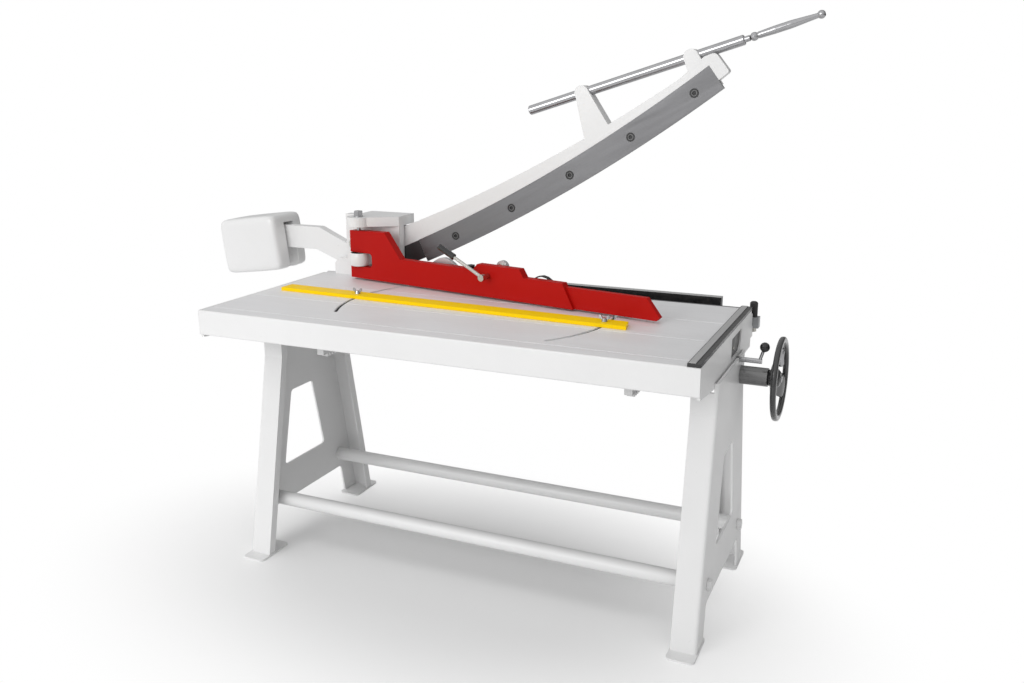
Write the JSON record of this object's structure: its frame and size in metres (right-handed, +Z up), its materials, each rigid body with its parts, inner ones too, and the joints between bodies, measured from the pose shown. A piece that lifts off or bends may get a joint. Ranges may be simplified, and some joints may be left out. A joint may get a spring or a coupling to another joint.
{
  "type": "guillotine shear",
  "caption": "Hand lever guillotine shear on an A-frame stand: curved knife with counterweight, swinging hold-down arm, mitre fence and rack-driven back gauge.",
  "frame": {"origin": "centre of the bounding box in X and Y, on the floor", "axes": "+X to the right along the front edge of the table, +Y to the back, +Z up"},
  "size_m": [1.937, 0.722, 1.515],
  "materials": {
    "light_grey_paint": "semi-gloss light grey powder coat",
    "ground_table_steel": "ground steel plate",
    "blade_steel": "ground tool steel, slightly oily",
    "machined_steel": "machined steel",
    "zinc_plated_steel": "bright zinc plate",
    "chrome": "polished chrome plate",
    "red_paint": "semi-gloss red paint",
    "yellow_paint": "satin yellow paint",
    "black_plastic": "moulded black plastic",
    "black_rubber": "black rubber",
    "black_steel": "black oxide and black paint"
  },
  "bodies": {
    "root": {"front_apron": "light_grey_paint", "left_end_plate": "light_grey_paint", "right_end_plate": "light_grey_paint", "blade_beam": "light_grey_paint", "left_table_rib": "light_grey_paint", "right_table_rib": "light_grey_paint", "left_bearer": "light_grey_paint", "right_bearer": "light_grey_paint", "left_stand_frame": "light_grey_paint", "right_stand_frame": "light_grey_paint", "front_tie_tube": "light_grey_paint", "rear_tie_tube": "light_grey_paint", "pivot_housing": "light_grey_paint", "rear_cheek": "light_grey_paint", "buffer_lug": "light_grey_paint", "left_rack_guide": "light_grey_paint", "right_rack_guide": "light_grey_paint", "table_top": "ground_table_steel", "heel_packing": "ground_table_steel", "lower_blade": "blade_steel", "rail_strip": "machined_steel", "pivot_pin": "zinc_plated_steel", "pivot_nut": "zinc_plated_steel", "buffer_bolt": "zinc_plated_steel", "hold_down_pin": "chrome", "lock_stud": "chrome", "end_rail": "black_plastic", "buffer_cap": "black_rubber", "shaft_bearing": "black_steel"},
    "knife": {"knife_beam": "light_grey_paint", "upper_blade": "blade_steel", "counterweight": "light_grey_paint", "blade_screw_1": "black_steel", "blade_screw_2": "black_steel", "blade_screw_3": "black_steel", "blade_screw_4": "black_steel", "blade_screw_5": "black_steel"},
    "handle": {"handle_bar": "chrome", "handle_grip": "chrome"},
    "hold_down": {"hold_down_arm": "red_paint", "arm_nut": "black_steel", "leaf_spring": "black_steel"},
    "clamp": {"clamp_lever": "zinc_plated_steel", "lever_grip": "black_plastic", "cam_roller": "machined_steel"},
    "presser": {"presser_bar": "machined_steel"},
    "fence": {"mitre_fence": "yellow_paint", "left_fence_bolt": "zinc_plated_steel", "right_fence_bolt": "zinc_plated_steel"},
    "left_nut": {"left_wing_nut": "chrome"},
    "right_nut": {"right_wing_nut": "chrome"},
    "gauge": {"back_gauge_bar": "black_steel", "left_rack": "machined_steel", "right_rack": "machined_steel"},
    "wheel": {"handwheel": "black_plastic", "cross_shaft": "machined_steel"},
    "lock": {"lock_lever": "chrome", "lock_ball": "black_plastic"}
  },
  "joints": [
    {"name": "knife_hinge", "type": "hinge", "parent": "root", "child": "knife", "pos_m": [-0.43448, 0.281, 0.834], "axis": [0, 1, 0], "range_deg": [-1, 28]},
    {"name": "handle_slide", "type": "slide", "parent": "knife", "child": "handle", "axis": [0.9563, 0, 0.2924], "range_m": [-0.1, 0.12]},
    {"name": "hold_down_hinge", "type": "hinge", "parent": "root", "child": "hold_down", "pos_m": [-0.39248, 0.189, 0.729], "axis": [0, 0, 1], "range_deg": [-1, 10.8]},
    {"name": "clamp_lever_hinge", "type": "hinge", "parent": "hold_down", "child": "clamp", "pos_m": [0.11189, 0.0926, 0.797], "axis": [0.1877, 0.9822, 0], "range_deg": [0, 60]},
    {"name": "presser_slide", "type": "slide", "parent": "hold_down", "child": "presser", "axis": [0, 0, -1], "range_m": [0, 0.004]},
    {"name": "fence_hinge", "type": "hinge", "parent": "root", "child": "fence", "pos_m": [0.13252, -0.043, 0.729], "axis": [0, 0, 1], "range_deg": [-14, 1.5]},
    {"name": "left_nut_hinge", "type": "hinge", "parent": "fence", "child": "left_nut", "pos_m": [-0.25292, -0.04368, 0.749], "axis": [0, 0, 1], "continuous": true},
    {"name": "right_nut_hinge", "type": "hinge", "parent": "fence", "child": "right_nut", "pos_m": [0.51625, -0.07928, 0.749], "axis": [0, 0, 1], "continuous": true},
    {"name": "gauge_slide", "type": "slide", "parent": "root", "child": "gauge", "axis": [0, 1, 0], "range_m": [0, 0.34]},
    {"name": "handwheel_hinge", "type": "hinge", "parent": "root", "child": "wheel", "pos_m": [0.91252, 0.064, 0.597], "axis": [1, 0, 0], "range_deg": [-815, 0]},
    {"name": "lock_hinge", "type": "hinge", "parent": "root", "child": "lock", "pos_m": [0.85882, 0.039, 0.645], "axis": [1, 0, 0], "range_deg": [-60, 60]}
  ],
  "couplings": [
    {"joint": "handwheel_hinge", "follows": "gauge_slide", "rad_per_m": -41.667},
    {"joint": "clamp_lever_hinge", "follows": "presser_slide", "rad_per_m": 261.79}
  ]
}
